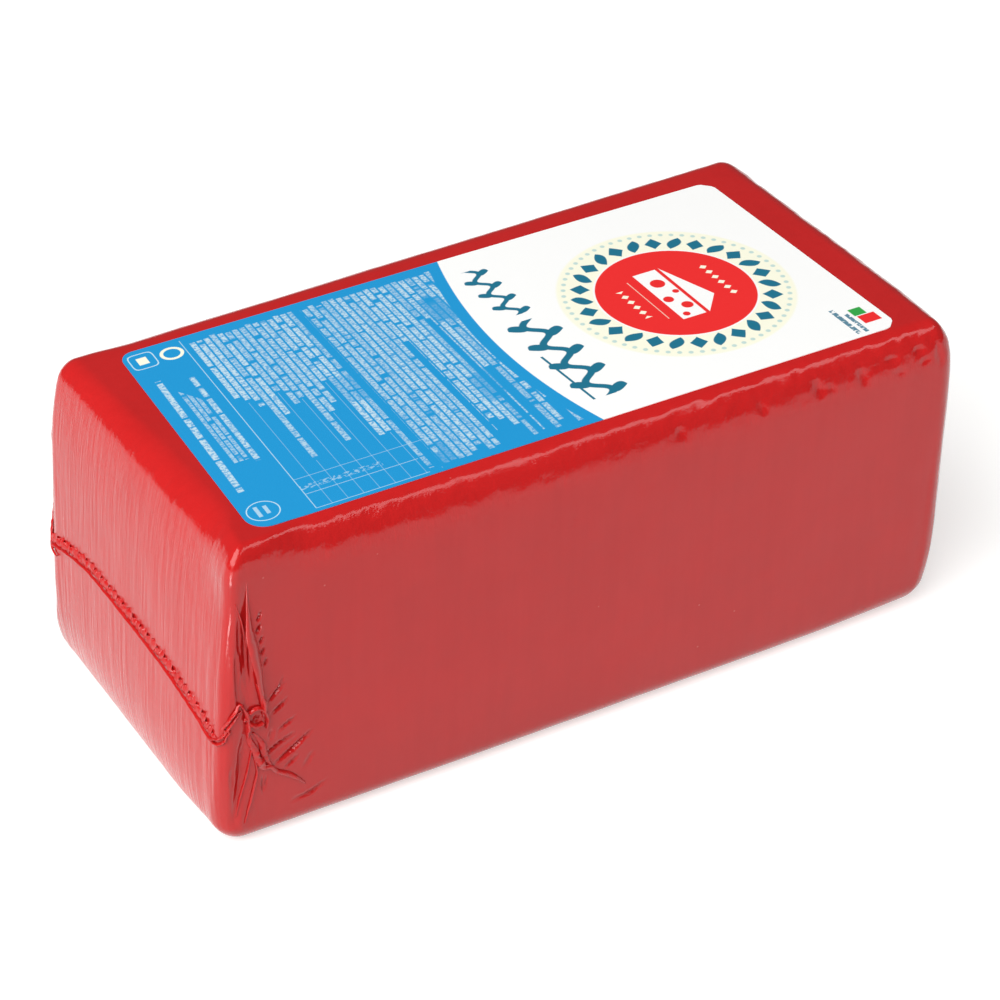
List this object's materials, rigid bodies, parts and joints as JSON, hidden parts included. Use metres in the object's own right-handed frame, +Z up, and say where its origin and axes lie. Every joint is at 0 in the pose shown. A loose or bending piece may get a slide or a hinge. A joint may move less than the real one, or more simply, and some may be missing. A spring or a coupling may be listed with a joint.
{
  "type": "edam cheese block in film",
  "caption": "Long block of edam cheese sealed in glossy red film, with crimped end seals, folded film ears and a printed label on top.",
  "frame": {"origin": "on the base, under the middle of the loaf's rims, where the block rests", "axes": "+X along the loaf, from the end with the arched seal to the plainer end; -Y is the front long face; +Z up out of the labelled top"},
  "size_m": [0.2593, 0.1256, 0.1032],
  "materials": {
    "red_film": "tight glossy film, red",
    "printed_label": "satin print in blue, white, red and teal"
  },
  "bodies": {
    "root": {"cheese_loaf": "red_film", "end_seal_left": "red_film", "end_seal_right": "red_film", "film_ear_front": "red_film", "film_ear_back": "red_film", "label": "printed_label"}
  },
  "joints": []
}
